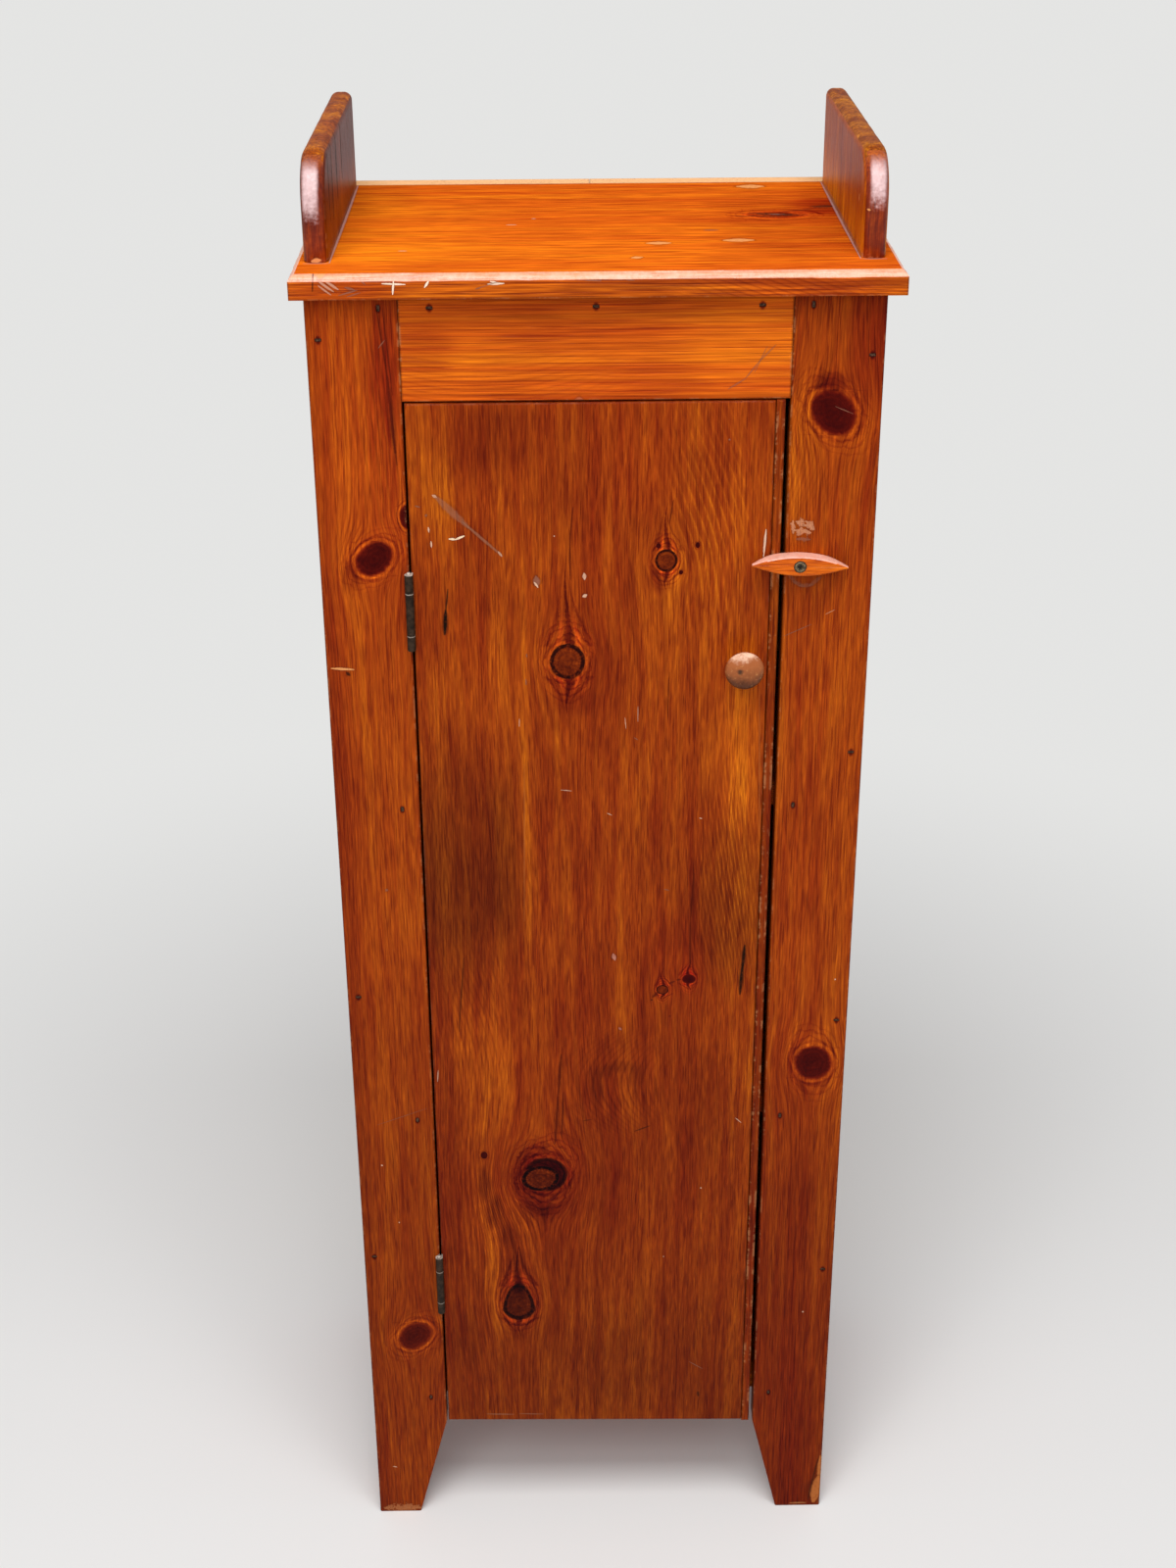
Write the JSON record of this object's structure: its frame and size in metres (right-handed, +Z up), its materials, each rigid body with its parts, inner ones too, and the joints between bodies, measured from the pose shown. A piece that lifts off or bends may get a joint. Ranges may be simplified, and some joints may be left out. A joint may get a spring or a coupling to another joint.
{
  "type": "storage cabinet",
  "caption": "Narrow standing pine cupboard: face frame with tapered feet, hinged plank door with a knob and a wooden turn button, inner shelves, and an overhanging top with low end boards.",
  "frame": {"origin": "on the floor, under the middle of the whole cabinet's box", "axes": "+Z up, the door faces -Y, +X to the right of someone who faces the door"},
  "size_m": [0.454, 0.3428, 1.3013],
  "materials": {
    "stained_pine": "orange-brown stain under gloss varnish",
    "dark_stained_pine": "red-brown stain under gloss varnish",
    "raw_pine": "bare rough-sawn wood",
    "hinge_bronze": "dark oil-rubbed bronze",
    "knob_copper": "mottled antique copper",
    "fastener_steel": "dull grey steel"
  },
  "bodies": {
    "cabinet": {"left_side": "stained_pine", "right_side": "stained_pine", "left_stile": "stained_pine", "right_stile": "stained_pine", "top_rail": "stained_pine", "top_board": "stained_pine", "left_end_board": "dark_stained_pine", "right_end_board": "dark_stained_pine", "bottom_shelf": "stained_pine", "lower_shelf": "stained_pine", "upper_shelf": "stained_pine", "case_top": "stained_pine", "left_back_board": "raw_pine", "right_back_board": "raw_pine", "upper_hinge_frame_leaf": "hinge_bronze", "upper_hinge_pin": "hinge_bronze", "upper_hinge_frame_lower_screw": "fastener_steel", "upper_hinge_frame_upper_screw": "fastener_steel", "lower_hinge_frame_leaf": "hinge_bronze", "lower_hinge_pin": "hinge_bronze", "lower_hinge_frame_lower_screw": "fastener_steel", "lower_hinge_frame_upper_screw": "fastener_steel", "turn_button_screw": "fastener_steel", "left_end_board_front_screw": "fastener_steel", "left_end_board_back_screw": "fastener_steel", "right_end_board_front_screw": "fastener_steel", "right_end_board_back_screw": "fastener_steel", "left_bottom_shelf_nail": "fastener_steel", "right_bottom_shelf_nail": "fastener_steel", "left_lower_shelf_nail": "fastener_steel", "right_lower_shelf_nail": "fastener_steel", "left_upper_shelf_nail": "fastener_steel", "right_upper_shelf_nail": "fastener_steel", "left_case_top_nail": "fastener_steel", "right_case_top_nail": "fastener_steel", "left_side_nail_1": "fastener_steel", "left_side_nail_2": "fastener_steel", "left_side_nail_3": "fastener_steel", "right_side_nail_1": "fastener_steel", "right_side_nail_2": "fastener_steel", "right_side_nail_3": "fastener_steel", "right_side_nail_4": "fastener_steel", "rail_left_nail": "fastener_steel", "rail_middle_nail": "fastener_steel", "rail_right_nail": "fastener_steel"},
    "door": {"door_plank": "stained_pine", "door_edge_strip": "stained_pine", "strip_top_brad": "fastener_steel", "strip_bottom_brad": "fastener_steel", "upper_hinge_door_leaf": "hinge_bronze", "upper_hinge_door_lower_screw": "fastener_steel", "upper_hinge_door_upper_screw": "fastener_steel", "lower_hinge_door_leaf": "hinge_bronze", "lower_hinge_door_lower_screw": "fastener_steel", "lower_hinge_door_upper_screw": "fastener_steel", "knob": "knob_copper", "knob_bolt": "fastener_steel"},
    "turn_button": {"turn_button": "stained_pine"}
  },
  "joints": [
    {"name": "door_swing", "type": "hinge", "parent": "cabinet", "child": "door", "pos_m": [-0.14875, -0.1486, 0.62], "axis": [0, 0, -1], "range_deg": [0, 180]},
    {"name": "turn_button_turn", "type": "hinge", "parent": "cabinet", "child": "turn_button", "pos_m": [0.15595, -0.1517, 0.9937], "axis": [0, -1, 0], "continuous": true}
  ]
}
